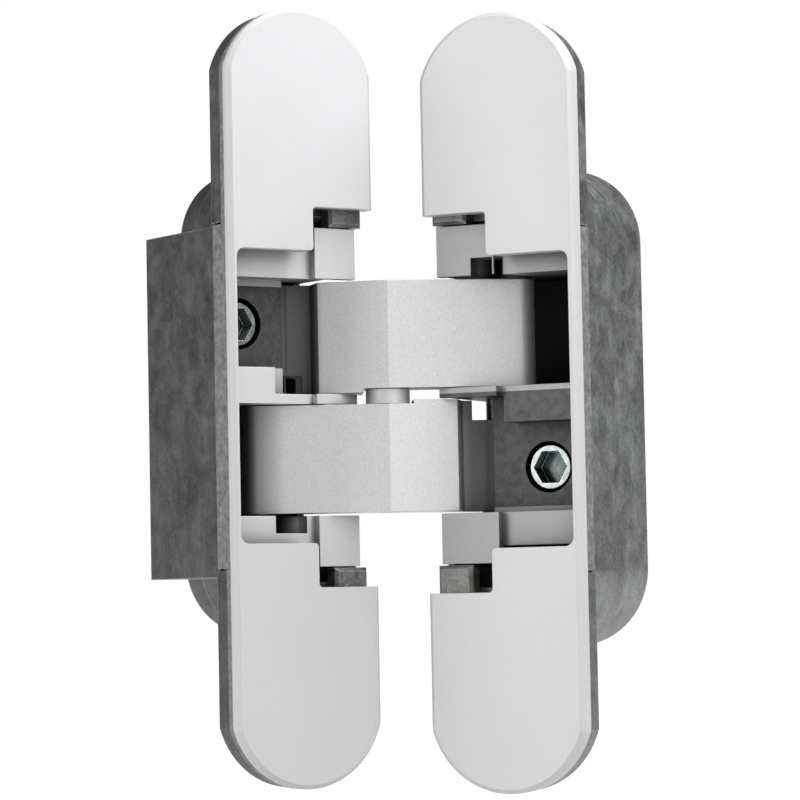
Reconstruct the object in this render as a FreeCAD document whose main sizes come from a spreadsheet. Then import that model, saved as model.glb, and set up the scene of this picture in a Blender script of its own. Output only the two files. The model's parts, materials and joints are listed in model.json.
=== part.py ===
import FreeCAD, Part
import math
import os
import Sketcher
from FreeCAD import Placement, Rotation, Vector

# Concealed door hinge: two pocketed bodies joined by two arms that cross on a centre pin.
# Each half is drawn in one drawing frame: its face is the plane y = 0, its inner edge is x = 0,
# depth runs along +Y into the jamb and z = 0 is half way up its cover.
# The left half is then moved so that the origin is the middle of its four fixing holes,
# on the back of the flange. The right half is turned over about the fold line.
# The arms, pins and inner blocks of both halves share one drawing, and each body is then set
# sideways on its block by its own shift. A dimension that starts with = follows other dimensions.

doc = FreeCAD.newDocument("concealed_hinge")
sheet = doc.addObject("Spreadsheet::Sheet", "sheet")
row = 0


def dimension(alias, value, note):
    """Write one dimension, in millimetres or degrees, or its formula, into the sheet."""
    global row
    row += 1
    sheet.set(f"A{row}", note)
    sheet.set(f"B{row}", str(value))
    sheet.setAlias(f"B{row}", alias)


dimension("body_width", 24.0, "width of one body")
dimension("body_height", 111.5, "height of one body")
dimension("linkage", "=body_width / 24", "size of the linkage, to that in a body 24 mm wide")
dimension("cut_past", 1.0, "how far a cut runs past an edge")
dimension("end_radius", "=body_width / 2 + 0.5", "radius of the rounded ends")
dimension("shoulder_round", 3.0, "radius where the sides meet the rounded ends")
dimension("cover_thick", 2.5, "cover plate thickness")
dimension("cover_bevel", 0.6, "bevel round the cover's front edge")
dimension("strip_width", 1.0, "cover strip left outside the window")
dimension("skirt_depth", 5.0, "depth of the cover's skirt beside the window")
dimension("skirt_half", "=block_half", "half height of the skirt")
dimension("skirt_gap", 0.3, "gap at the ends of the skirt")
dimension("step_depth", "=10.25 * linkage", "width of the tall part of the opening")
dimension("step_half", "=block_half + 2.8", "half height of the tall part of the opening")
dimension("window_half", "=block_half - 3.5", "half height of the wide part of the opening")
dimension("window_round", 1.3, "corner radius of the window")
dimension("step_round", 0.6, "corner radius of the steps")
dimension("peg_radius", 1.5, "cover peg radius")
dimension("peg_length", 2.2, "cover peg length")
dimension("peg_height", "=block_half + clamp_length + 4.7", "height of the cover pegs")
dimension("peg_side", "=0.22 * body_width", "cover pegs, from either side of the cover")
dimension("peg_gap", 0.15, "gap round a cover peg")
dimension("flange_thick", 3.0, "flange thickness")
dimension("flange_inset", 0.15, "flange set in from the cover's edge")
dimension("screw_hole", 2.3, "radius of the fixing holes")
dimension("screw_sink", 4.2, "radius of the countersinks")
dimension("screw_outer", 48.5, "height of the outer fixing holes")
dimension("screw_inner", 40.0, "height of the inner fixing holes")
dimension("body_depth", "=25.6 * linkage", "depth of one body behind its face")
dimension("case_inset", 0.6, "case set in from the flange edge")
dimension("case_half", "=block_half + 10.1", "half height of the rounded case")
dimension("case_flare", 0.01, "radius of a case's rounded ends beyond half its width")
dimension("front_depth", "=11.0 * linkage", "depth of the front step of the left case")
dimension("rear_depth", "=16.5 * linkage", "depth of the rear step of the left case")
dimension("rear_inset", 0.7, "rear step set in from the front step")
dimension("box_half", "=block_half + 0.6", "half height of the deep box of the left case")
dimension("box_drop", 0.6, "deep box below the middle of the left case")
dimension("right_case_half", "=block_half + 10.9", "half height of the right case")
dimension("wall", 1.0, "side wall of a case")
dimension("pocket_half", "=block_half - 0.9", "half height of the carrier pocket")
dimension("pocket_floor", 1.4, "floor of the carrier pocket")
dimension("slot_half", "=block_half + 2.1", "half height of the pocket's tall part")
dimension("slot_depth", "=10.6 * linkage", "depth of the pocket's tall part")
dimension("throat_half", "=carrier_half", "half height of the opening in the inner wall")
dimension("throat_depth", "=19.8 * linkage", "depth of the opening in the inner wall")
dimension("clamp_room", "=block_half + clamp_length + 1.9", "half height of the room for the clamps")
dimension("slide_gap", 0.2, "running gap of the carrier in its pocket")
dimension("depth_travel", 0.7, "adjustment in depth, each way")
dimension("carrier_half", "=block_half - 2.5", "half height of the carrier's wide part")
dimension("block_half", 24.4, "half height of the carrier's end blocks")
dimension("block_face", 3.3, "depth of the end blocks' faces")
dimension("left_block_near", 0.6, "left end blocks, near side from the arms' inner edge")
dimension("right_block_near", 3.9, "right end blocks, near side from the arms' inner edge")
dimension("left_block_far", "=7.35 * linkage", "left end blocks, far side from the arms' inner edge")
dimension("right_block_far", "=13.0 * linkage", "right end blocks, far side from the arms' inner edge")
dimension("carrier_face", 4.7, "depth of the carrier's face")
dimension("carrier_back", "=22.0 * linkage", "depth of the carrier's back")
dimension("arm_room", "=block_half - 7.3", "half height of the room for the arms")
dimension("web_low", 1.0, "web between the arms, slot side")
dimension("web_high", 0.4, "web between the arms, pivot side")
dimension("bay_back", "=19.6 * linkage", "depth of the slot side bay")
dimension("recess_depth", "=8.9 * linkage", "depth of the recessed face round the adjusting screw")
dimension("recess_low", 4.2, "lower edge of the recessed face, above the arm plane")
dimension("swing_reach", "=13.5 * linkage", "far side of the room that an arm sweeps")
dimension("face_reach", "=9.7 * linkage", "far side of the room for the hook behind the recessed face")
dimension("swing_gap", 0.4, "room round the pivot barrel")
dimension("left_adjuster_u", "=17.0 * linkage", "left adjusting screw, from the arms' inner edge")
dimension("right_adjuster_u", "=18.5 * linkage", "right adjusting screw, from the arms' inner edge")
dimension("adjuster_z", "=block_half - 13.7", "adjusting screw, above the arm plane")
dimension("adjuster_head", "=3.5 * linkage", "adjusting screw head radius")
dimension("adjuster_shank", "=2.4 * linkage", "adjusting screw shank radius")
dimension("adjuster_face", "=9.4 * linkage", "depth of the adjusting screw's face")
dimension("adjuster_seat", "=13.0 * linkage", "depth of the adjusting screw's seat")
dimension("adjuster_end", "=21.4 * linkage", "depth of the adjusting screw's end")
dimension("adjuster_gap", 0.2, "gap round the adjusting screw's head")
dimension("adjuster_bevel", 0.4, "bevel of the adjusting screw's head")
dimension("hex_flats", "=4.6 * linkage", "hexagon socket across flats")
dimension("hex_depth", 2.6, "hexagon socket depth")
dimension("clamp_near", 0.3, "clamp plate, near side from the inner edge")
dimension("clamp_far", 5.7, "clamp plate, far side from the inner edge")
dimension("clamp_length", 6.3, "clamp plate height")
dimension("clamp_thick", 2.5, "clamp plate thickness")
dimension("clamp_bevel", 0.5, "bevel of the clamp plate")
dimension("clamp_screw", 1.5, "clamp screw radius")
dimension("clamp_screw_up", 3.6, "clamp screw above the plate's lower edge")
dimension("pivot_u", "=7.7 * linkage", "fixed pivot, from the inner edge")
dimension("pivot_v", "=14.4 * linkage", "fixed pivot, depth")
dimension("arm_pivot_x", "=16.2 * linkage", "arm: centre pin to fixed pivot, across")
dimension("arm_pivot_y", "=5.5 * linkage", "arm: centre pin to fixed pivot, deep")
dimension("arm_slide_x", "=19.0 * linkage", "arm: centre pin to slide pin, across")
dimension("arm_slide_y", "=-0.1 * linkage", "arm: centre pin to slide pin, deep")
dimension("arm_ridge", "=4.0 * linkage", "arm: ridge in front of the centre pin")
dimension("arm_back_x", "=3.0 * linkage", "arm: back corner on the slide side, across")
dimension("arm_back_y", "=3.7 * linkage", "arm: back corner on the slide side, deep")
dimension("hook_back_x", "=4.5 * linkage", "arm: back corner on the pivot side, across")
dimension("hook_back_y", "=4.3 * linkage", "arm: back corner on the pivot side, deep")
dimension("hook_outer", "=1.2 * linkage", "arm: hook meets the barrel's back, inside the pivot")
dimension("hook_inner", "=1.6 * linkage", "arm: hook meets the barrel's front, inside the pivot")
dimension("hook_sink", "=0.5 * linkage", "arm: hook let into the barrel's front")
dimension("hook_lap", "=0.22 * linkage", "arm: hook let into the barrel's back")
dimension("shoulder_deep", "=4.3 * linkage", "arm: depth of the shoulder's face")
dimension("shoulder_lean", "=1.0 * linkage", "arm: lean of the shoulder's face")
dimension("arm_top", "=block_half - 7.7", "arm: outer end above the arm plane")
dimension("arm_low", 1.15, "arm: inner end on the slide side")
dimension("arm_step", 0.55, "arm: inner end on the pivot side")
dimension("arm_notch", 3.4, "arm: inner end at the pivot barrel")
dimension("arm_shoulder", "=10.0 * linkage", "arm: shoulder beside the pivot barrel, across")
dimension("upper_fall", 0.29, "upper arm: fall of the pivot side facet to its length")
dimension("lower_fall", 0.24, "lower arm: fall of the pivot side facet to its length")
dimension("notch_reach", "=12.4 * linkage", "arm: where the notch at the pivot starts")
dimension("barrel_pivot", "=3.3 * linkage", "arm: pivot barrel radius")
dimension("barrel_slide", "=2.6 * linkage", "arm: slide barrel radius")
dimension("pin_radius", "=1.5 * linkage", "pin radius")
dimension("pin_gap", 0.03, "running gap round a pin")
dimension("pin_seat", 3.3, "pivot pin let into the block above the arm")
dimension("fit_gap", 0.05, "gap round a shank, or behind a head")
dimension("face_gap", 0.1, "gap between two flat faces")
dimension("end_gap", 0.3, "gap at the end of a pin or shoe")
dimension("bush_radius", "=2.3 * linkage", "pivot bush outer radius")
dimension("shoe_radius", "=2.2 * linkage", "slide shoe outer radius")
dimension("shoe_gap", 0.3, "gap of the shoe in its track")
dimension("track_depth", 2.5, "depth of the slide track")
dimension("washer_radius", "=3.2 * linkage", "centre washer radius")
dimension("half_fold", 30.0, "half of the fold away from flat, in degrees")
dimension("arm_turn", "=half_fold * arm_full_turn / 90", "turn of an arm away from flat, in degrees")
dimension("arm_full_turn", 72.0, "whole turn of an arm in its own body, in degrees")
dimension("left_lift", 0.2, "arm plane above the left body's middle")
dimension("right_drop", 1.2, "right body's middle below the left body's")
dimension("left_shift", "=0.7 * linkage", "left body towards the fold, from where the arms are drawn")
dimension("right_shift", "=-3.1 * linkage", "right body towards the fold, from where the arms are drawn")
doc.recompute()


class Size:
    """A length that carries both its number and its expression in the sheet."""

    def __init__(self, value, text):
        self.value = value
        self.text = text

    def __add__(self, other):
        other = as_size(other)
        return Size(self.value + other.value, f"({self.text} + {other.text})")

    def __sub__(self, other):
        other = as_size(other)
        return Size(self.value - other.value, f"({self.text} - {other.text})")

    def __mul__(self, other):
        other = as_size(other)
        return Size(self.value * other.value, f"({self.text} * {other.text})")

    def __neg__(self):
        return self * -1.0

    __radd__ = __add__
    __rmul__ = __mul__

    def __rsub__(self, other):
        return as_size(other) - self


def as_size(value):
    return value if isinstance(value, Size) else Size(float(value), str(float(value)))


def size(alias):
    """One named dimension of the sheet."""
    return Size(float(sheet.get(alias)), f"sheet.{alias}")


def new_body(label):
    body = doc.addObject("PartDesign::Body", label)
    body.Label = label
    return body


def new_sketch(body, plane, offset):
    """Sketch on one of the body's own planes: XY looks down on the plan, XZ faces the front."""
    sketch = body.newObject("Sketcher::SketchObject", "outline")
    origin = next(item for item in body.Origin.OriginFeatures if item.Role == f"{plane}_Plane")
    sketch.AttachmentSupport = [(origin, "")]
    sketch.MapMode = "FlatFace"
    offset = as_size(offset)
    shift = -offset if plane == "XZ" else offset
    sketch.AttachmentOffset = Placement(Vector(0, 0, shift.value), Rotation())
    sketch.setExpression("AttachmentOffset.Base.z", shift.text)
    return sketch


def bind(sketch, constraint, length):
    index = sketch.addConstraint(constraint)
    sketch.setExpression(f"Constraints[{index}]", length.text)


def hold_point(sketch, item, end, across, up):
    """Fix one end of one line or arc at a place given by two sizes."""
    across = as_size(across)
    up = as_size(up)
    bind(sketch, Sketcher.Constraint("DistanceX", -1, 1, item, end, across.value), across)
    bind(sketch, Sketcher.Constraint("DistanceY", -1, 1, item, end, up.value), up)


def flat(point):
    return Vector(as_size(point[0]).value, as_size(point[1]).value, 0)


def polygon(sketch, points):
    """Closed outline of straight lines through the given points."""
    count = len(points)
    first = sketch.GeometryCount
    for index in range(count):
        line = Part.LineSegment(flat(points[index]), flat(points[(index + 1) % count]))
        sketch.addGeometry(line, False)
    for index in range(count):
        after = first + (index + 1) % count
        sketch.addConstraint(Sketcher.Constraint("Coincident", first + index, 2, after, 1))
        hold_point(sketch, first + index, 1, *points[index])
    return sketch


def rectangle(sketch, left, right, low, high):
    return polygon(sketch, [(left, low), (right, low), (right, high), (left, high)])


def circle(sketch, across, up, radius):
    item = sketch.addGeometry(Part.Circle(flat((across, up)), Vector(0, 0, 1), as_size(radius).value), False)
    hold_point(sketch, item, 3, across, up)
    bind(sketch, Sketcher.Constraint("Radius", item, as_size(radius).value), as_size(radius))
    return sketch


def capsule(sketch, left, right, half, radius):
    """Upright outline with straight sides and an arc at each end."""
    left, right, half, radius = [as_size(value) for value in (left, right, half, radius)]
    width = (right - left).value
    sagitta = radius.value - math.sqrt(radius.value ** 2 - width ** 2 / 4)
    shoulder = half.value - sagitta
    middle = (left.value + right.value) / 2
    corners = [
        Vector(right.value, -shoulder, 0), Vector(right.value, shoulder, 0),
        Vector(left.value, shoulder, 0), Vector(left.value, -shoulder, 0)]
    top = Part.Arc(corners[1], Vector(middle, half.value, 0), corners[2])
    bottom = Part.Arc(corners[3], Vector(middle, -half.value, 0), corners[0])
    sketch.addGeometry([Part.LineSegment(corners[0], corners[1]), top,
                        Part.LineSegment(corners[2], corners[3]), bottom], False)
    drop = f"({radius.text} - sqrt({radius.text} ^ 2 - ({right.text} - {left.text}) ^ 2 / 4))"
    shoulder_size = Size(shoulder, f"({half.text} - {drop})")
    ends = [(0, 1, right, -shoulder_size), (0, 2, right, shoulder_size),
            (2, 1, left, shoulder_size), (2, 2, left, -shoulder_size)]
    for item, end, across, up in ends:
        hold_point(sketch, item, end, across, up)
    for line, line_end, arc, arc_end in [(0, 2, 1, 1), (1, 2, 2, 1), (2, 2, 3, 1), (3, 2, 0, 1)]:
        sketch.addConstraint(Sketcher.Constraint("Coincident", line, line_end, arc, arc_end))
    bind(sketch, Sketcher.Constraint("Radius", 1, radius.value), radius)
    bind(sketch, Sketcher.Constraint("Radius", 3, radius.value), radius)
    return sketch


def add(body, kind, sketch, length):
    """Pad or pocket the sketch away from its plane: along +Z in plan, along +Y from the front."""
    feature = body.newObject(f"PartDesign::{kind}", kind)
    feature.Profile = sketch
    feature.Length = as_size(length).value
    feature.setExpression("Length", as_size(length).text)
    along_normal = sketch.AttachmentSupport[0][0].Role == "XY_Plane"
    feature.Reversed = (along_normal != (kind == "Pad"))
    sketch.Visibility = False
    doc.recompute()
    return feature


def front(body, kind, near, far, draw, *arguments):
    """Feature drawn on the face, reaching from one depth to another."""
    sketch = new_sketch(body, "XZ", near)
    draw(sketch, *arguments)
    return add(body, kind, sketch, as_size(far) - near)


def plan(body, kind, low, high, draw, *arguments):
    """Feature drawn in plan, reaching from one height to another."""
    sketch = new_sketch(body, "XY", low)
    draw(sketch, *arguments)
    return add(body, kind, sketch, as_size(high) - low)


def edge_names(shape, wanted):
    return [f"Edge{number}" for number, edge in enumerate(shape.Edges, 1) if wanted(edge)]


def soften(body, kind, radius, wanted):
    """Fillet or chamfer the edges of the body that pass the test."""
    base = body.Tip
    names = edge_names(base.Shape, wanted)
    feature = body.newObject(f"PartDesign::{kind}", kind)
    feature.Base = (base, names)
    name = "Radius" if kind == "Fillet" else "Size"
    setattr(feature, name, as_size(radius).value)
    feature.setExpression(name, as_size(radius).text)
    doc.recompute()
    return feature


def runs_along(edge, axis):
    ends = [vertex.Point for vertex in edge.Vertexes]
    return len(ends) == 2 and abs((ends[1] - ends[0]).normalize().dot(axis)) > 0.999


def near(value, target):
    return abs(value - target) < 0.01


def turned(vector, degrees):
    return Rotation(Vector(0, 0, 1), degrees).multVec(vector)


width = size("body_width")
height_half = size("body_height") * 0.5
cover_thick = size("cover_thick")
flange_back = cover_thick + size("flange_thick")
step_depth = size("step_depth")
strip = size("strip_width")

# Places of the pins at the modelled pose, in plan
half_fold = size("half_fold").value
lift = size("left_lift").value
pivot_left = Vector(-size("pivot_u").value, size("pivot_v").value, 0)
reach_pivot = Vector(-size("arm_pivot_x").value, size("arm_pivot_y").value, 0)
reach_slide = Vector(-size("arm_slide_x").value, size("arm_slide_y").value, 0)
centre = pivot_left - turned(reach_pivot, -half_fold)
slide_left = centre + turned(reach_slide, -half_fold)

# Where each part stands
fold_line = turned(Vector(0, -1, 0), -half_fold)
left_shift = size("left_shift")
right_shift = size("right_shift")
axis_point = centre + Vector(0, 0, lift)
half_turn = Rotation(fold_line, 180)


def shifted(across, up):
    return Placement(Vector(across, 0, up), Rotation())


to_origin = Placement(Vector(width.value / 2 - left_shift.value, -flange_back.value, 0), Rotation())
turn_over = to_origin * Placement(axis_point - half_turn.multVec(axis_point), half_turn)
place_body = {
    "left": to_origin * shifted(left_shift.value, 0),
    "right": turn_over * shifted(right_shift.value, 2 * lift + size("right_drop").value)}
place_clamps = {
    "left": to_origin * shifted(left_shift.value, lift),
    "right": turn_over * shifted(right_shift.value, lift)}
place_carrier = {"left": to_origin * shifted(0, lift), "right": turn_over * shifted(0, lift)}
place_arm = to_origin * Placement(axis_point, Rotation(Vector(0, 0, 1), -half_fold))
SIDES = ("left", "right")


def opening(sketch):
    """Stepped opening of a cover: tall at the inner edge, wide as far as the outer strip."""
    tall, wide = size("step_half"), size("window_half")
    step, outer, past = -step_depth, strip - width, size("cut_past")
    return polygon(sketch, [
        (past, -tall), (step, -tall), (step, -wide), (outer, -wide),
        (outer, wide), (step, wide), (step, tall), (past, tall)])


def cover(side):
    """Painted plate over the flange, with a skirt beside the window and four pegs behind."""
    body = new_body(f"{side}_cover")
    front(body, "Pad", 0.0, cover_thick, capsule, -width, 0.0, height_half, size("end_radius"))
    front(body, "Pocket", 0.0, cover_thick, opening)
    step, outer = -step_depth.value, (strip - width).value
    wide, tall = size("window_half").value, size("step_half").value
    depth = Vector(0, 1, 0)

    def window_corner(edge):
        point = edge.Vertexes[0].Point
        return runs_along(edge, depth) and near(point.x, outer) and near(abs(point.z), wide)

    def step_corner(edge):
        point = edge.Vertexes[0].Point
        return runs_along(edge, depth) and near(point.x, step) and abs(point.z) < tall + 0.01

    def shoulder(edge):
        return runs_along(edge, depth) and abs(edge.CenterOfMass.z) > tall + 1

    def outer_front(edge):
        points = [vertex.Point for vertex in edge.Vertexes]
        on_face = all(near(point.y, 0) for point in points)
        middle = edge.CenterOfMass
        on_side = near(middle.x, -width.value)
        beyond = abs(middle.z) > tall + 0.1
        return on_face and (on_side or beyond)

    soften(body, "Fillet", size("shoulder_round"), shoulder)
    soften(body, "Fillet", size("window_round"), window_corner)
    soften(body, "Fillet", size("step_round"), step_corner)
    soften(body, "Chamfer", size("cover_bevel"), outer_front)
    skirt = size("skirt_half")
    front(body, "Pad", cover_thick, size("skirt_depth"), rectangle, -width, strip - width, -skirt, skirt)
    peg = size("peg_height")
    for across in (-size("peg_side"), size("peg_side") - width):
        for up in (peg, -peg):
            front(body, "Pad", cover_thick, cover_thick + size("peg_length"), circle,
                  across, up, size("peg_radius"))
    body.Placement = place_body[side]
    return body


def flange(body):
    """Flange plate with its fixing holes, the cover's peg holes and the skirt's recess."""
    inset = size("flange_inset")
    front(body, "Pad", cover_thick, flange_back, capsule, inset - width, -inset,
          height_half - inset, size("end_radius") - inset)
    skirt = size("skirt_half") + size("skirt_gap")
    front(body, "Pocket", cover_thick, flange_back, rectangle,
          -width - size("cut_past"), strip - width + size("skirt_gap"), -skirt, skirt)
    for height in (size("screw_outer"), size("screw_inner")):
        for up in (height, -height):
            hole = width * -0.5
            front(body, "Pocket", cover_thick, flange_back, circle, hole, up, size("screw_hole"))
    peg = size("peg_height")
    for across in (-size("peg_side"), size("peg_side") - width):
        for up in (peg, -peg):
            front(body, "Pocket", cover_thick, cover_thick + size("peg_length") + size("end_gap"), circle,
                  across, up, size("peg_radius") + size("peg_gap"))

    def hole_mouth(edge):
        curve = edge.Curve
        on_face = near(edge.CenterOfMass.y, cover_thick.value)
        return isinstance(curve, Part.Circle) and near(curve.Radius, size("screw_hole").value) and on_face

    soften(body, "Chamfer", size("screw_sink") - size("screw_hole"), hole_mouth)


def hollow(body):
    """Pocket for the carrier, room for the clamps and the throat that the arms swing through."""
    wall = size("case_inset") + size("wall")
    pocket, slot = size("pocket_half"), size("slot_half")
    floor = size("body_depth") - size("pocket_floor")
    top, past = cover_thick, size("cut_past")
    clamp, throat = size("clamp_room"), size("throat_half")
    front(body, "Pocket", top, floor, rectangle, wall - width, -wall, -pocket, pocket)
    front(body, "Pocket", top, size("slot_depth"), rectangle, -step_depth, -wall, -slot, slot)
    front(body, "Pocket", top, flange_back, rectangle, size("end_gap") - step_depth, past, -clamp, clamp)
    front(body, "Pocket", top, size("throat_depth"), rectangle, -wall - past, past, -throat, throat)


def left_housing():
    """Cast case in three steps: two rounded ones and a deep square box."""
    body = new_body("left_housing")
    flange(body)
    inset = size("case_inset")
    rear = inset + size("rear_inset")
    half = size("case_half")
    radius = width * 0.5 - inset + size("case_flare")
    front(body, "Pad", flange_back, size("front_depth"), capsule, inset - width, -inset, half, radius)
    front(body, "Pad", size("front_depth"), size("rear_depth"), capsule, rear - width, -rear,
          half - size("rear_inset"), radius - size("rear_inset"))
    box_low = -size("box_half") - size("box_drop")
    box_high = size("box_half") - size("box_drop")
    front(body, "Pad", flange_back, size("body_depth"), rectangle, inset - width, -inset, box_low, box_high)
    hollow(body)
    body.Placement = place_body["left"]
    return body


def right_housing():
    """Cast case with rounded ends over its whole depth."""
    body = new_body("right_housing")
    flange(body)
    inset = size("case_inset")
    front(body, "Pad", flange_back, size("body_depth"), capsule, inset - width, -inset,
          size("right_case_half"), width * 0.5 - inset + size("case_flare"))
    hollow(body)
    body.Placement = place_body["right"]
    return body


def track_points(offset):
    """Path of the slide pin in its own half, moved sideways by the offset, as a list of points."""
    full = size("arm_full_turn").value
    points = []
    steps = 10
    for index in range(steps + 1):
        fold = 90.0 * index / steps
        turn = fold * full / 90.0 - size("arm_turn").value
        swing = fold * (180.0 - full) / 90.0 - (2 * half_fold - size("arm_turn").value)
        joint = pivot_left + turned(centre - pivot_left, -turn)
        points.append(joint + turned(slide_left - centre, -swing))
    moved = []
    for index, point in enumerate(points):
        before = points[max(index - 1, 0)]
        after = points[min(index + 1, steps)]
        along = (after - before).normalize()
        moved.append(point + Vector(-along.y, along.x, 0) * offset)
    return moved, points


def track(sketch):
    """Curved track: two offset curves of the pin's path, closed by a half round at each end."""
    half = size("shoe_radius").value + size("shoe_gap").value
    left, path = track_points(half)
    right, path = track_points(-half)
    for side in (left, right):
        curve = Part.BSplineCurve()
        curve.interpolate(side)
        sketch.addGeometry(curve, False)
    for index, inward in ((0, 1), (-1, -2)):
        away = (path[index] - path[inward]).normalize() * half
        sketch.addGeometry(Part.Arc(left[index], path[index] + away, right[index]), False)
    return sketch


def swing_room(sketch):
    """Plan of the pivot side bay: the area that an arm sweeps, with a little room."""
    pivot_x, pivot_y = -size("pivot_u"), size("pivot_v")
    reach, past, barrel = -size("face_reach"), size("cut_past"), size("barrel_pivot")
    room = barrel + size("swing_gap")
    return polygon(sketch, [
        (past, 0.0), (past, pivot_y + size("swing_gap")), (pivot_x + barrel, pivot_y + barrel),
        (pivot_x, pivot_y + room), (pivot_x - room, pivot_y),
        (reach, size("recess_depth") + size("slide_gap")), (reach, 0.0)])


def carrier(side):
    """Painted inner block: pivot bay above, slot bay below, a web between, the adjuster beside."""
    body = new_body(f"{side}_carrier")
    case = size("case_inset") + size("wall") + size("slide_gap")
    shift = size(f"{side}_shift")
    outer = shift + case - width
    inner = right_shift - case
    face, back = size("carrier_face"), size("carrier_back")
    half, block = size("carrier_half"), size("block_half")
    near_side, far_side = -size(f"{side}_block_near"), -size(f"{side}_block_far")
    travel = size("depth_travel") + size("slide_gap")
    front(body, "Pad", face, back, rectangle, outer, inner, -half, half)
    front(body, "Pad", size("block_face"), size("slot_depth") - travel, rectangle,
          far_side, inner, -block, block)
    front(body, "Pad", size("block_face"), flange_back - travel, rectangle,
          far_side, near_side, -block, block)
    room, low, high = size("arm_room"), size("web_low"), size("web_high")
    pivot = (-size("pivot_u"), size("pivot_v"))
    plan(body, "Pocket", high, room, swing_room)
    plan(body, "Pocket", high, room, circle, *pivot, size("barrel_pivot") + size("swing_gap"))
    past = size("cut_past")
    front(body, "Pocket", 0.0, size("recess_depth"), rectangle, outer - past, past, size("recess_low"), room)
    plan(body, "Pocket", high, size("recess_low"), rectangle, -size("swing_reach"), past,
         0.0, size("recess_depth"))
    plan(body, "Pocket", -room, -low, rectangle, outer - past, past, 0.0, size("bay_back"))
    plan(body, "Pocket", -room - size("track_depth"), -room, track)
    plan(body, "Pocket", -low, room + size("pin_seat") + size("face_gap"), circle, *pivot, size("pin_radius"))
    adjuster = (-size(f"{side}_adjuster_u"), size("adjuster_z"))
    front(body, "Pocket", size("recess_depth"), size("adjuster_seat"), circle, *adjuster,
          size("adjuster_head") + size("adjuster_gap"))
    front(body, "Pocket", size("recess_depth"), back, circle, *adjuster,
          size("adjuster_shank") + size("fit_gap"))
    body.Placement = place_carrier[side]
    return body


def hexagon(sketch, across, up, flats):
    corners = []
    for index in range(6):
        angle = math.radians(60 * index)
        corners.append((across + flats * (math.cos(angle) / math.sqrt(3)),
                        up + flats * (math.sin(angle) / math.sqrt(3))))
    return polygon(sketch, corners)


def adjuster(side):
    """Adjusting screw with a hexagon socket."""
    body = new_body(f"{side}_adjusting_screw")
    place = (-size(f"{side}_adjuster_u"), size("adjuster_z"))
    seat = size("adjuster_seat") - size("fit_gap")
    front(body, "Pad", size("adjuster_face"), seat, circle, *place, size("adjuster_head"))
    front(body, "Pad", seat, size("adjuster_end"), circle, *place, size("adjuster_shank"))
    front(body, "Pocket", size("adjuster_face"), size("adjuster_face") + size("hex_depth"), hexagon,
          *place, size("hex_flats"))

    def rim(edge):
        curve = edge.Curve
        on_face = near(edge.CenterOfMass.y, size("adjuster_face").value)
        return isinstance(curve, Part.Circle) and on_face

    soften(body, "Chamfer", size("adjuster_bevel"), rim)
    body.Placement = place_carrier[side]
    return body


def clamps(side):
    """Two clamp plates that hold the carrier at its height, one above and one below."""
    plate = doc.addObject("Part::Box", f"{side}_clamp_plate")
    low = size("block_half") + size("slide_gap")
    near_side, far_side = size("clamp_near"), size("clamp_far")
    top = cover_thick + size("slide_gap")
    lengths = {"Length": far_side - near_side, "Width": size("clamp_thick"), "Height": size("clamp_length")}
    for name, length in lengths.items():
        plate.setExpression(name, length.text)
    plate.Placement = Placement(Vector(-far_side.value, top.value, low.value), Rotation())
    doc.recompute()
    bevelled = doc.addObject("Part::Chamfer", f"{side}_bevelled_plate")
    bevelled.Base = plate
    bevel = size("clamp_bevel").value
    on_face = [number for number, edge in enumerate(plate.Shape.Edges, 1)
               if near(edge.CenterOfMass.y, top.value)]
    bevelled.Edges = [(number, bevel, bevel) for number in on_face]
    hole = doc.addObject("Part::Cylinder", f"{side}_clamp_hole")
    hole.setExpression("Radius", (size("clamp_screw") + size("fit_gap")).text)
    hole.setExpression("Height", (top + size("clamp_thick") + size("cut_past")).text)
    place_screw(hole, low, 0.0)
    upper = doc.addObject("Part::Cut", f"{side}_upper_clamp")
    upper.Base, upper.Tool = bevelled, hole
    lower = doc.addObject("Part::Mirroring", f"{side}_lower_clamp")
    lower.Source, lower.Normal = upper, Vector(0, 0, 1)
    return group(f"{side}_clamps", [upper, lower], place_clamps[side])


def place_screw(cylinder, low, depth):
    """Point a clamp screw or its hole into the body, in the middle of the plate above z = 0."""
    across = (size("clamp_near") + size("clamp_far")) * -0.5
    up = low + size("clamp_screw_up")
    cylinder.Placement = Placement(Vector(across.value, as_size(depth).value, up.value),
                                   Rotation(Vector(1, 0, 0), -90))


def group(label, members, placement):
    pair = doc.addObject("Part::Compound", label)
    pair.Links = members
    pair.Label = label
    pair.Placement = placement
    return pair


def clamp_screws(side):
    """Small screws that tighten the clamp plates."""
    low = size("block_half") + size("slide_gap")
    upper = doc.addObject("Part::Cylinder", f"{side}_upper_clamp_screw")
    upper.setExpression("Radius", size("clamp_screw").text)
    upper.setExpression("Height", size("clamp_thick").text)
    place_screw(upper, low, cover_thick + size("slide_gap") + size("face_gap"))
    lower = doc.addObject("Part::Mirroring", f"{side}_lower_clamp_screw")
    lower.Source, lower.Normal = upper, Vector(0, 0, 1)
    return group(f"{side}_clamp_screws", [upper, lower], place_clamps[side])


def ring(label, place, inner, outer, low, high, placement):
    """Plain round part, solid or with a bore, standing upright."""
    body = new_body(label)
    plan(body, "Pad", low, high, circle, *place, outer)
    if inner is not None:
        plan(body, "Pocket", low, high, circle, *place, inner)
    body.Placement = placement
    return body


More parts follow.
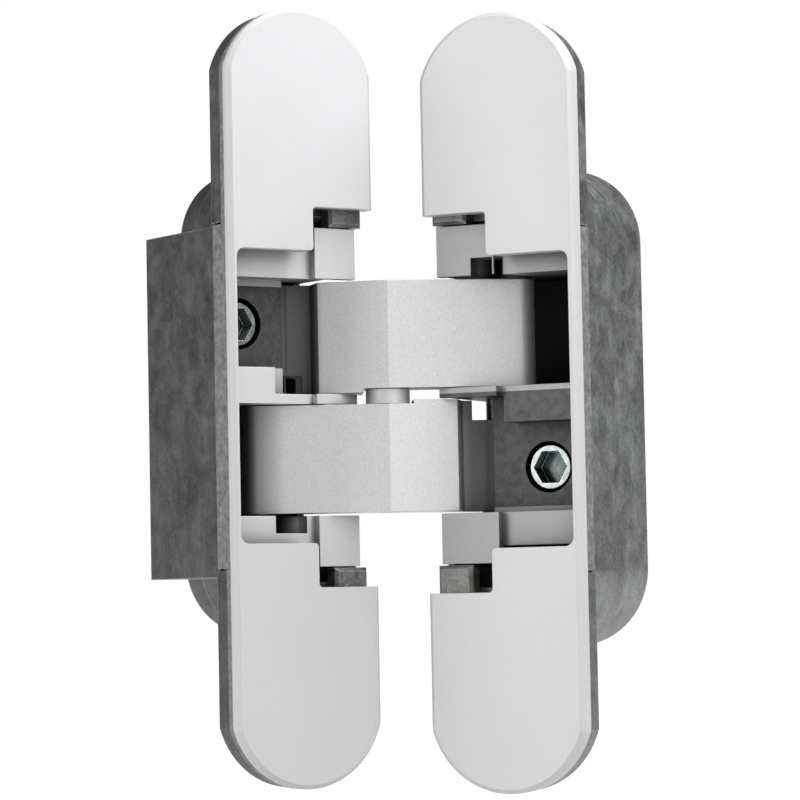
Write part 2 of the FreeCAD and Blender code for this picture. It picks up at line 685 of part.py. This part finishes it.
def arm_outline(sketch, sign, fall):
    """Plan of an arm: ridge over the centre pin, a long facet one way and a hook the other way."""
    ridge = size("arm_ridge")
    slide_x, slide_y = size("arm_slide_x"), size("arm_slide_y")
    pivot_x, pivot_y = size("arm_pivot_x"), size("arm_pivot_y")
    barrel, slide = size("barrel_pivot"), size("barrel_slide")
    shoulder = size("arm_shoulder")
    edge = shoulder * fall - ridge
    points = [
        (0.0, -ridge), (slide_x, slide_y - slide), (slide_x, slide_y + slide),
        (size("arm_back_x"), size("arm_back_y")), (-size("hook_back_x"), size("hook_back_y")),
        (size("hook_outer") - pivot_x, pivot_y + barrel - size("hook_lap")),
        (size("hook_inner") - pivot_x, pivot_y - barrel + size("hook_sink")),
        (-shoulder - size("shoulder_lean"), edge + size("shoulder_deep")), (-shoulder, edge)]
    placed = [(as_size(across) * float(sign), up) for across, up in points]
    return polygon(sketch, placed if sign > 0 else placed[::-1])


def arm(label, sign, fall):
    """Link arm; sign +1 has its pivot on the left above the arm plane, -1 the other way round."""
    body = new_body(label)
    top, low = size("arm_top"), size("arm_low")
    step, notch = size("arm_step"), size("arm_notch")
    beyond = size("arm_slide_x") + size("arm_top")

    def span(near_plane, far_plane):
        return (near_plane, far_plane) if sign > 0 else (-far_plane, -near_plane)

    def strip_between(first, last):
        ends = (first * float(sign), last * float(sign))
        return ends if ends[0].value < ends[1].value else ends[::-1]

    pivot = (size("arm_pivot_x") * -float(sign), size("arm_pivot_y"))
    slide = (size("arm_slide_x") * float(sign), size("arm_slide_y"))
    plan(body, "Pad", *span(step, top), arm_outline, sign, fall)
    plan(body, "Pad", *span(notch, top), circle, *pivot, size("barrel_pivot"))
    plan(body, "Pad", *span(low, top), circle, *slide, size("barrel_slide"))
    plan(body, "Pocket", *span(step, low), rectangle,
         *strip_between(-size("washer_radius") - size("swing_gap"), beyond), -beyond, beyond)
    plan(body, "Pocket", *span(step, notch), rectangle,
         *strip_between(-size("notch_reach"), -beyond), -beyond, beyond)
    plan(body, "Pocket", *span(step, top), circle, 0.0, 0.0, size("pin_radius") + size("pin_gap"))
    plan(body, "Pocket", *span(step, top), circle, *pivot, size("bush_radius"))
    plan(body, "Pocket", *span(step, top), circle, *slide, size("pin_radius"))
    body.Placement = place_arm
    return body


parts = []
for side in SIDES:
    parts.append(cover(side))
parts.append(left_housing())
parts.append(right_housing())
for side in SIDES:
    parts.append(carrier(side))
    parts.append(adjuster(side))
    parts.append(clamps(side))
    parts.append(clamp_screws(side))
    pivot = (-size("pivot_u"), size("pivot_v"))
    slide = (as_size(slide_left.x), as_size(slide_left.y))
    room = size("arm_room")
    pin = size("pin_radius")
    gap = size("end_gap")
    track_end = gap - room - size("track_depth")
    parts.append(ring(f"{side}_pivot_pin", pivot, None, pin, -size("web_low"), room + size("pin_seat"),
                      place_carrier[side]))
    parts.append(ring(f"{side}_pivot_bush", pivot, pin + size("pin_gap"), size("bush_radius"),
                      size("arm_notch"), size("arm_top") + gap, place_carrier[side]))
    parts.append(ring(f"{side}_slide_pin", slide, None, pin, track_end, -size("arm_low") - size("face_gap"),
                      place_carrier[side]))
    parts.append(ring(f"{side}_slide_shoe", slide, pin + size("pin_gap"), size("shoe_radius"),
                      track_end, -size("arm_top") - size("face_gap"), place_carrier[side]))
parts.append(arm("upper_arm", 1, size("upper_fall")))
parts.append(arm("lower_arm", -1, size("lower_fall")))
parts.append(ring("centre_pin", (0.0, 0.0), None, size("pin_radius"), size("end_gap") - size("arm_top"),
                  size("arm_top") - size("end_gap"), place_arm))
parts.append(ring("centre_washer", (0.0, 0.0), size("pin_radius") + size("pin_gap"), size("washer_radius"),
                  size("face_gap") - size("arm_low"), size("arm_low") - size("face_gap"), place_arm))
doc.recompute()

for item in doc.Objects:
    if "Invalid" in item.State or "Error" in item.State:
        raise RuntimeError(f"{item.Label} did not build")
os.makedirs("parts", exist_ok=True)
for part in parts:
    if part.Shape.isNull() or not part.Shape.isValid():
        raise RuntimeError(f"{part.Label} has no valid shape")
    part.Shape.exportStep(f"parts/{part.Label}.step")
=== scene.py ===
import json
import math

import bpy
from mathutils import Matrix, Vector

# Concealed door hinge, part closed, as the camera of the photograph sees it.
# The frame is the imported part: metres, +Z up, +Y into the door jamb.

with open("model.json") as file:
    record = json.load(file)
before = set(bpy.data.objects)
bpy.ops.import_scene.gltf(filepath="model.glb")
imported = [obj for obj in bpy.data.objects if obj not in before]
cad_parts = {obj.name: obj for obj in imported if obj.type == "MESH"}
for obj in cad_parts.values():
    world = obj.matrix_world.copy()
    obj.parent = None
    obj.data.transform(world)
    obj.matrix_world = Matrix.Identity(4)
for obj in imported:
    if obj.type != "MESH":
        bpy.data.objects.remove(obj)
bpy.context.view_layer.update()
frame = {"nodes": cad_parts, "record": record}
nodes = frame["nodes"]
MM = 0.001
WHITE = (1.0, 1.0, 1.0)
SIDES = ("left", "right")

# How far the flat mounts lie behind the front of the covers
FLANGE_BACK = 5.5 * MM
MOUNTS = {mount["name"]: mount for mount in frame["record"]["mounts"]}


class Graph:
    """Node tree of one material with its main shader."""

    def __init__(self, name, colour):
        self.material = bpy.data.materials.new(name)
        self.material.use_nodes = True
        self.material.diffuse_color = (*colour, 1.0)
        self.nodes = self.material.node_tree.nodes
        self.links = self.material.node_tree.links
        self.shader = self.nodes["Principled BSDF"]
        self.place = self.add("ShaderNodeTexCoord").outputs["Object"]

    def add(self, kind, **values):
        node = self.nodes.new(kind)
        for name, value in values.items():
            setattr(node, name, value)
        return node

    def link(self, output, node, socket):
        self.links.new(output, node.inputs[socket])

    def noise(self, size, detail=3.0, roughness=0.55, stretch=(1, 1, 1), distortion=0.0):
        """Noise between 0 and 1 with features of about the given size in metres."""
        mapping = self.add("ShaderNodeMapping")
        mapping.inputs["Scale"].default_value = stretch
        self.link(self.place, mapping, "Vector")
        noise = self.add("ShaderNodeTexNoise")
        noise.inputs["Scale"].default_value = 1 / size
        noise.inputs["Detail"].default_value = detail
        noise.inputs["Roughness"].default_value = roughness
        noise.inputs["Distortion"].default_value = distortion
        self.link(mapping.outputs["Vector"], noise, "Vector")
        return noise.outputs["Fac"]

    def ramp(self, factor, *stops):
        """Colour ramp through (position, colour or grey) stops."""
        node = self.add("ShaderNodeValToRGB")
        elements = node.color_ramp.elements
        while len(elements) < len(stops):
            elements.new(0.5)
        for element, (position, colour) in zip(elements, stops):
            element.position = position
            tint = (colour,) * 3 if isinstance(colour, float) else colour
            element.color = (*tint, 1.0)
        self.link(factor, node, "Fac")
        return node.outputs["Color"]

    def mix(self, factor, first, second, blend="MIX"):
        node = self.add("ShaderNodeMix", data_type="RGBA", blend_type=blend)
        inputs = [socket for socket in node.inputs if socket.enabled]
        for socket, value in zip(inputs, (factor, first, second)):
            if isinstance(value, bpy.types.NodeSocket):
                self.links.new(value, socket)
            elif isinstance(value, float):
                socket.default_value = value
            else:
                socket.default_value = (*value, 1.0)
        return next(socket for socket in node.outputs if socket.enabled)

    def bump(self, height, strength, distance, edge=0.0):
        """Bump from a height, over edges rounded by the given radius in metres."""
        node = self.add("ShaderNodeBump")
        node.inputs["Strength"].default_value = strength
        node.inputs["Distance"].default_value = distance
        self.link(height, node, "Height")
        if edge:
            bevel = self.add("ShaderNodeBevel", samples=4)
            bevel.inputs["Radius"].default_value = edge
            self.link(bevel.outputs["Normal"], node, "Normal")
        self.link(node.outputs["Normal"], self.shader, "Normal")

    def occlusion(self, reach, depth, closed, opened):
        """Painted shade between close walls, from ambient occlusion: 1 in the open, the given depth where
        little is open.
        """
        node = self.add("ShaderNodeAmbientOcclusion", samples=6)
        node.inputs["Distance"].default_value = reach
        return self.ramp(node.outputs["AO"], (closed, depth), (opened, 1.0))

    def edges(self, radius):
        """1 along sharp edges, where a painted highlight brightens the surface, and 0 elsewhere."""
        bevel = self.add("ShaderNodeBevel", samples=6)
        bevel.inputs["Radius"].default_value = radius
        turn = self.add("ShaderNodeVectorMath", operation="DOT_PRODUCT")
        self.link(bevel.outputs["Normal"], turn, 0)
        self.link(self.add("ShaderNodeNewGeometry").outputs["Normal"], turn, 1)
        return self.ramp(turn.outputs["Value"], (0.8, 1.0), (0.97, 0.0))

    def behind(self, mount, start, end, near=0.0, far=1.0):
        """Near up to one depth behind the face of a body, far from a second depth on."""
        axis = Vector(MOUNTS[mount]["axis"])
        face = axis.dot(Vector(MOUNTS[mount]["pos_m"])) - FLANGE_BACK
        depth = self.add("ShaderNodeVectorMath", operation="DOT_PRODUCT")
        self.link(self.place, depth, 0)
        depth.inputs[1].default_value = axis
        part = self.add("ShaderNodeMapRange")
        part.inputs["From Min"].default_value = face + start
        part.inputs["From Max"].default_value = face + end
        part.inputs["To Min"].default_value = near
        part.inputs["To Max"].default_value = far
        self.link(depth.outputs["Value"], part, "Value")
        return part.outputs["Result"]

    def between(self, low, high):
        """1 between two heights, 0 above and below them."""
        split = self.add("ShaderNodeSeparateXYZ")
        self.link(self.place, split, 0)
        offset = self.add("ShaderNodeMath", operation="SUBTRACT")
        self.link(split.outputs["Z"], offset, 0)
        offset.inputs[1].default_value = (low + high) / 2
        size = self.add("ShaderNodeMath", operation="ABSOLUTE")
        self.link(offset.outputs["Value"], size, 0)
        inside = self.add("ShaderNodeMath", operation="LESS_THAN")
        self.link(size.outputs["Value"], inside, 0)
        inside.inputs[1].default_value = (high - low) / 2
        return inside.outputs["Value"]

    def finish(self, colour, roughness, metallic):
        self.link(colour, self.shader, "Base Color")
        self.link(roughness, self.shader, "Roughness")
        self.shader.inputs["Metallic"].default_value = metallic
        return self.material


# Bare metal: dark and light patches on the covers' skirts, and in the blocks' windows bare metal darkened
# as painted shade
SKIRT_ZINC = ((0.13, 0.13, 0.135), (0.34, 0.34, 0.34))
WINDOW_ZINC_AND_SHADE = ((0.07, 0.07, 0.072), (0.12, 0.12, 0.122))

# Sizes of the paint's clouds and of the bare metal's patches, height of the flakes, and roughness
PAINT_CLOUD = 14 * MM
BARE_PATCH = 1.2 * MM
FLAKE_HEIGHT = 0.02 * MM
SATIN = 0.42
SATIN_SPREAD = 0.12


def satin_paint(name, low, high, grain, edge, metallic, corner_shade=None,
                skirt=None, window=None, deep_shade=(), bare_and_shade_colours=SKIRT_ZINC):
    """Silver paint: fine flake grain, a slight cloud, a soft sheen.

    The corner values are the reach, the depth and the two limits of painted shade between close walls.
    Skirt is a flat mount and the depths behind its cover's front where the paint ends, window two heights
    between which there is none, and the bare colours are those of the unpainted part: plain on a skirt, and
    darkened as painted shade in a window. The deep list gives where painted shade darkens the colour inside
    a body: the mount, two depths, and the share of the colour that is left.
    """
    g = Graph(name, high)
    flake = g.noise(grain, 2.0, 0.7)
    cloud = g.noise(PAINT_CLOUD, 3.0)
    colour = g.mix(g.ramp(flake, (0.3, 0.0), (0.7, 1.0)), low, high)
    colour = g.mix(1.0, colour, g.ramp(cloud, (0.3, 0.97), (0.7, 1.0)), "MULTIPLY")
    if skirt or window:
        # Unpainted colour: bare metal on a skirt, and in a window bare metal darkened as painted shade
        bare_and_shade = g.ramp(g.noise(BARE_PATCH, 5.0, 0.7), (0.35, bare_and_shade_colours[0]), (0.65, bare_and_shade_colours[1]))
        unpainted_and_shaded = g.behind(*skirt) if skirt else g.between(*window)
        colour = g.mix(unpainted_and_shaded, colour, bare_and_shade)
    # Painted shade: the colour darkens deep inside a body
    for mount, start, end, dark in deep_shade:
        colour = g.mix(1.0, colour, g.behind(mount, start, end, 1.0, dark), "MULTIPLY")
    # Painted shade: the colour darkens between close walls
    if corner_shade:
        colour = g.mix(1.0, colour, g.occlusion(*corner_shade), "MULTIPLY")
    g.bump(flake, 0.25, FLAKE_HEIGHT, edge)
    return g.finish(colour, g.ramp(flake, (0.2, SATIN), (0.8, SATIN + SATIN_SPREAD)), metallic)


# Raw casting: sizes of its patches, pits and streaks, depth of the pits, width of its painted edge
# highlights
CAST_PATCH = 4.5 * MM
CAST_PIT = 0.5 * MM
CAST_STREAK = 2.4 * MM
CAST_PIT_DEPTH = 0.08 * MM
CAST_EDGE = 0.35 * MM


def raw_zinc(name, dark, light, edge, rim_highlight):
    """Raw die casting: cloudy grey patches, small pits, faint release streaks, painted highlights along the
    edges.
    """
    g = Graph(name, light)
    patches = g.noise(CAST_PATCH, 6.0, 0.7, distortion=0.6)
    specks = g.noise(CAST_PIT, 5.0, 0.75)
    streaks = g.noise(CAST_STREAK, 3.0, 0.6, (1.0, 1.0, 0.22))
    blend = g.mix(0.45, patches, specks)
    blend = g.mix(0.2, blend, streaks)
    middle = tuple((a + b) / 2 for a, b in zip(dark, light))
    colour = g.ramp(blend, (0.38, dark), (0.5, middle), (0.61, light))
    # Painted highlight: a light grey along the sharp edges
    colour = g.mix(g.edges(CAST_EDGE), colour, (rim_highlight, rim_highlight, rim_highlight * 1.01))
    g.bump(specks, 0.4, CAST_PIT_DEPTH, edge)
    return g.finish(colour, g.ramp(patches, (0.3, 0.34), (0.7, 0.6)), 0.7)


# Steel: size and height of its turning marks, width of its painted rim highlights, spread of its roughness
TURNING_MARK = 0.8 * MM
MARK_HEIGHT = 0.02 * MM
STEEL_RIM = 0.2 * MM
STEEL_SPREAD = 0.08


def plated_steel(name, low, high, roughness, edge, corner_shade=None, rim_highlight=None):
    """Zinc plating or ground steel: faint turning marks, painted shade in recesses, painted highlights on
    the rims.
    """
    g = Graph(name, high)
    marks = g.noise(TURNING_MARK, 2.0, 0.5)
    colour = g.mix(g.ramp(marks, (0.35, 0.0), (0.65, 1.0)), low, high)
    # Painted shade: the colour darkens in recesses such as the hex socket
    if corner_shade:
        colour = g.mix(1.0, colour, g.occlusion(*corner_shade), "MULTIPLY")
    # Painted highlight: a light grey along the rims
    if rim_highlight:
        colour = g.mix(g.edges(STEEL_RIM), colour, rim_highlight)
    g.bump(marks, 0.06, MARK_HEIGHT, edge)
    return g.finish(colour, g.ramp(marks, (0.3, roughness), (0.7, roughness + STEEL_SPREAD)), 1.0)


# Bearing plastic: size and height of its grain
PLASTIC_GRAIN = 0.25 * MM
PLASTIC_HEIGHT = 0.03 * MM


def moulded_plastic(name, low, high):
    """Dark bearing plastic with a fine moulded grain."""
    g = Graph(name, high)
    grain = g.noise(PLASTIC_GRAIN, 2.0)
    colour = g.mix(grain, low, high)
    g.bump(grain, 0.3, PLASTIC_HEIGHT)
    return g.finish(colour, g.ramp(grain, (0.3, 0.5), (0.7, 0.62)), 0.0)


# Paint: size of its flakes, radius of the edges that it rounds, how metallic it is, and for arms
# and blocks its colours and the painted shade between close walls
COVER_FLAKE = 0.12 * MM
COVER_EDGE = 0.18 * MM
COVER_METAL = 0.15
FLAKE = 0.2 * MM
WASHER_FLAKE = 0.15 * MM
ARM_EDGE = 0.2 * MM
ARM_METAL = 0.7
ARM_LOW = (0.69, 0.69, 0.695)
ARM_HIGH = (0.88, 0.88, 0.885)
ARM_CORNER_SHADE = (3 * MM, 0.2, 0.1, 0.5)
BLOCK_EDGE = 0.15 * MM
BLOCK_METAL = 0.65
BLOCK_CORNER_SHADE = (12 * MM, 0.1, 0.15, 0.7)

# Where the paint of each cover ends behind its front, and the windows of the blocks, which are bare and
# darkened as painted shade
LEFT_SKIRT = ("jamb_face", 1.4 * MM, 1.5 * MM)
RIGHT_SKIRT = ("door_face", 2.4 * MM, 2.5 * MM)
LEFT_WINDOW = (4.6 * MM, 16.4 * MM)
RIGHT_WINDOW = (-16.1 * MM, 0.4 * MM)

# Radius of the edges of the castings and the small pieces
HOUSING_EDGE = 0.3 * MM
CLAMP_EDGE = 0.25 * MM
STEEL_EDGE = 0.1 * MM

FINISHES = {
    "left_cover": satin_paint(
        "cover_silver_left", (0.72, 0.72, 0.735), (0.8, 0.8, 0.815), COVER_FLAKE, COVER_EDGE,
        COVER_METAL, skirt=LEFT_SKIRT),
    "right_cover": satin_paint(
        "cover_silver_right", (0.72, 0.72, 0.725), (0.8, 0.8, 0.805), COVER_FLAKE, COVER_EDGE,
        COVER_METAL, skirt=RIGHT_SKIRT),
    # Arms: deep inside a body their colour darkens as painted shade
    "upper_arm": satin_paint(
        "arm_silver_upper", ARM_LOW, ARM_HIGH, FLAKE, ARM_EDGE, ARM_METAL, corner_shade=ARM_CORNER_SHADE,
        deep_shade=[("jamb_face", 5 * MM, 8.5 * MM, 0.16)]),
    "lower_arm": satin_paint(
        "arm_silver_lower", ARM_LOW, ARM_HIGH, FLAKE, ARM_EDGE, ARM_METAL, corner_shade=ARM_CORNER_SHADE,
        deep_shade=[("jamb_face", 6.5 * MM, 9.8 * MM, 0.12), ("door_face", 6 * MM, 10 * MM, 0.2)]),
    # Blocks: their windows and their deep faces are darkened as painted shade
    "left_block": satin_paint(
        "block_grey_left", (0.72, 0.72, 0.725), (0.8, 0.8, 0.805), FLAKE, BLOCK_EDGE, BLOCK_METAL,
        corner_shade=BLOCK_CORNER_SHADE, window=LEFT_WINDOW, bare_and_shade_colours=WINDOW_ZINC_AND_SHADE,
        deep_shade=[("jamb_face", 8 * MM, 15 * MM, 0.15)]),
    # The right block's darker grey is painted shade: the same paint as the left block, made darker because
    # it is less lit
    "right_block": satin_paint(
        "block_grey_right_painted_shade", (0.34, 0.34, 0.345), (0.41, 0.41, 0.415), FLAKE, BLOCK_EDGE, BLOCK_METAL,
        corner_shade=BLOCK_CORNER_SHADE, window=RIGHT_WINDOW, bare_and_shade_colours=WINDOW_ZINC_AND_SHADE,
        deep_shade=[("door_face", 8 * MM, 15 * MM, 0.08)]),
    # The left housing's darker zinc is painted shade: the same casting as the right housing, made darker
    # because it faces away from the light
    "left_housing": raw_zinc(
        "zinc_left_painted_shade", (0.05, 0.051, 0.054), (0.15, 0.15, 0.148), HOUSING_EDGE, 0.45),
    "right_housing": raw_zinc(
        "zinc_right", (0.08, 0.085, 0.087), (0.34, 0.355, 0.34), HOUSING_EDGE, 0.5),
    "clamp": raw_zinc(
        "zinc_clamp", (0.08, 0.077, 0.074), (0.34, 0.33, 0.31), CLAMP_EDGE, 0.6),
    "screw": plated_steel(
        "zinc_plating", (0.34, 0.39, 0.39), (0.46, 0.52, 0.52), 0.2, STEEL_EDGE,
        corner_shade=(4 * MM, 0.1, 0.35, 0.9), rim_highlight=(0.75, 0.78, 0.78)),
    "pin": plated_steel(
        "ground_steel", (0.42, 0.43, 0.44), (0.56, 0.57, 0.58), 0.3, STEEL_EDGE),
    "washer": satin_paint(
        "washer_silver", (0.8, 0.8, 0.805), (0.9, 0.9, 0.905), WASHER_FLAKE, STEEL_EDGE, 0.4),
    "plastic": moulded_plastic("bearing_grey", (0.04, 0.04, 0.042), (0.09, 0.09, 0.092)),
}

# Which finish each node wears
WEARS = {"upper_arm": "upper_arm", "lower_arm": "lower_arm", "centre_pin": "pin", "centre_washer": "washer"}
for side in SIDES:
    WEARS[f"{side}_cover"] = f"{side}_cover"
    WEARS[f"{side}_housing"] = f"{side}_housing"
    WEARS[f"{side}_carrier"] = f"{side}_block"
    WEARS[f"{side}_adjusting_screw"] = "screw"
    WEARS[f"{side}_clamps"] = "clamp"
    WEARS[f"{side}_clamp_screws"] = "clamp"
    WEARS[f"{side}_pivot_pin"] = "pin"
    WEARS[f"{side}_slide_pin"] = "pin"
    WEARS[f"{side}_pivot_bush"] = "plastic"
    WEARS[f"{side}_slide_shoe"] = "plastic"
for name, finish in WEARS.items():
    slots = nodes[name].material_slots
    if slots:
        for slot in slots:
            slot.material = FINISHES[finish]
    else:
        nodes[name].data.materials.append(FINISHES[finish])


# Camera: in front of the fold, a little to the left of its middle, looking slightly up
AZIMUTH = math.radians(-33.0)
ELEVATION = math.radians(-3.3)
ROLL = math.radians(1.115)
DISTANCE = 0.5
FOCAL_PIXELS = 3444.0
IMAGE = 800.0
SENSOR = 36.0
NEAREST = 0.01
FURTHEST = 10.0
AIM = Vector((0.017, -0.005, 0.0))
AIM_PIXEL = (404.0, 398.3)

ahead = Vector((-math.sin(AZIMUTH) * math.cos(ELEVATION), math.cos(AZIMUTH) * math.cos(ELEVATION),
                -math.sin(ELEVATION)))
across = Vector((math.cos(AZIMUTH), math.sin(AZIMUTH), 0.0))
above = across.cross(ahead)
camera_data = bpy.data.cameras.new("camera")
camera_data.sensor_width = SENSOR
camera_data.lens = FOCAL_PIXELS / IMAGE * SENSOR
camera_data.clip_start = NEAREST
camera_data.clip_end = FURTHEST
camera = bpy.data.objects.new("camera", camera_data)
bpy.context.scene.collection.objects.link(camera)
right_axis = across * math.cos(ROLL) - above * math.sin(ROLL)
up_axis = across * math.sin(ROLL) + above * math.cos(ROLL)
centre_shift = (right_axis * (IMAGE / 2 - AIM_PIXEL[0]) - up_axis * (IMAGE / 2 - AIM_PIXEL[1]))
place = AIM - ahead * DISTANCE + centre_shift * (DISTANCE / FOCAL_PIXELS)
turn = Matrix((right_axis, up_axis, -ahead)).transposed().to_4x4()
camera.matrix_world = Matrix.Translation(place) @ turn
bpy.context.scene.camera = camera


def area_light(name, azimuth, elevation, distance, size, power):
    """Soft box that looks at the hinge from an angle measured as the camera's is."""
    level = math.cos(math.radians(elevation))
    back = Vector((math.sin(math.radians(azimuth)) * level, -math.cos(math.radians(azimuth)) * level,
                   math.sin(math.radians(elevation))))
    data = bpy.data.lights.new(name, "AREA")
    data.shape = "RECTANGLE"
    data.size, data.size_y = size
    data.energy = power
    lamp = bpy.data.objects.new(name, data)
    bpy.context.scene.collection.objects.link(lamp)
    lamp.location = AIM + back * distance
    lamp.rotation_euler = (-back).to_track_quat("-Z", "Y").to_euler()


# Lamps: name, azimuth, elevation, distance, size and power
LAMPS = (
    ("key", 5.0, 32.0, 0.5, (0.45, 0.4), 1.12),
    ("left_fill", -100.0, 16.0, 0.65, (0.4, 0.6), 2.5),
    ("top_right", 40.0, 58.0, 0.35, (0.2, 0.2), 1.15),
)
for lamp in LAMPS:
    area_light(*lamp)

# Floor and surroundings: white to the camera, plain grey light on the object
FLOOR = -0.085
FLOOR_REACH = 6.0
FLOOR_GREY = 0.5
FLOOR_ROUGHNESS = 0.9
NEAR = 0.12
NEAR_GLOW = 0.66
FAR = 0.42
FAR_GLOW = 1.0
SURROUNDING_LIGHT = 0.14
SURROUNDING_SEEN = 1.0


def seen_by(tree, *rays):
    """1 for the two kinds of ray named, 0 for light that falls on the object."""
    path = tree.nodes.new("ShaderNodeLightPath")
    seen = tree.nodes.new("ShaderNodeMath")
    seen.operation = "MAXIMUM"
    for socket, ray in zip(seen.inputs, rays):
        tree.links.new(path.outputs[ray], socket)
    return seen.outputs[0]


def pale_floor():
    """Pale surface, white to the camera away from the object, with the object's shadow beside it."""
    material = bpy.data.materials.new("floor_white")
    material.use_nodes = True
    tree = material.node_tree
    shader = tree.nodes["Principled BSDF"]
    shader.inputs["Base Color"].default_value = (FLOOR_GREY, FLOOR_GREY, FLOOR_GREY, 1.0)
    shader.inputs["Roughness"].default_value = FLOOR_ROUGHNESS
    shader.inputs["Emission Color"].default_value = (*WHITE, 1.0)
    place = tree.nodes.new("ShaderNodeTexCoord")
    away = tree.nodes.new("ShaderNodeVectorMath")
    away.operation = "LENGTH"
    tree.links.new(place.outputs["Object"], away.inputs[0])
    glow = tree.nodes.new("ShaderNodeMapRange")
    glow.inputs["From Min"].default_value = NEAR
    glow.inputs["From Max"].default_value = FAR
    glow.inputs["To Min"].default_value = NEAR_GLOW
    glow.inputs["To Max"].default_value = FAR_GLOW
    tree.links.new(away.outputs["Value"], glow.inputs["Value"])
    scale = tree.nodes.new("ShaderNodeMath")
    scale.operation = "MULTIPLY"
    tree.links.new(seen_by(tree, "Is Camera Ray", "Is Glossy Ray"), scale.inputs[0])
    tree.links.new(glow.outputs["Result"], scale.inputs[1])
    tree.links.new(scale.outputs[0], shader.inputs["Emission Strength"])
    return material


floor_mesh = bpy.data.meshes.new("floor")
floor_corners = [(-FLOOR_REACH, -FLOOR_REACH, FLOOR), (FLOOR_REACH, -FLOOR_REACH, FLOOR),
                 (FLOOR_REACH, FLOOR_REACH, FLOOR), (-FLOOR_REACH, FLOOR_REACH, FLOOR)]
floor_mesh.from_pydata(floor_corners, [], [(0, 1, 2, 3)])
floor_mesh.materials.append(pale_floor())
floor = bpy.data.objects.new("floor", floor_mesh)
bpy.context.scene.collection.objects.link(floor)

world = bpy.data.worlds.new("studio")
bpy.context.scene.world = world
world.use_nodes = True
sky = world.node_tree
strength = sky.nodes.new("ShaderNodeMapRange")
strength.inputs["To Min"].default_value = SURROUNDING_LIGHT
strength.inputs["To Max"].default_value = SURROUNDING_SEEN
sky.links.new(seen_by(sky, "Is Camera Ray", "Is Transmission Ray"), strength.inputs["Value"])
background = sky.nodes["Background"]
background.inputs["Color"].default_value = (*WHITE, 1.0)
sky.links.new(strength.outputs[0], background.inputs["Strength"])

bpy.context.scene.view_settings.view_transform = "Standard"
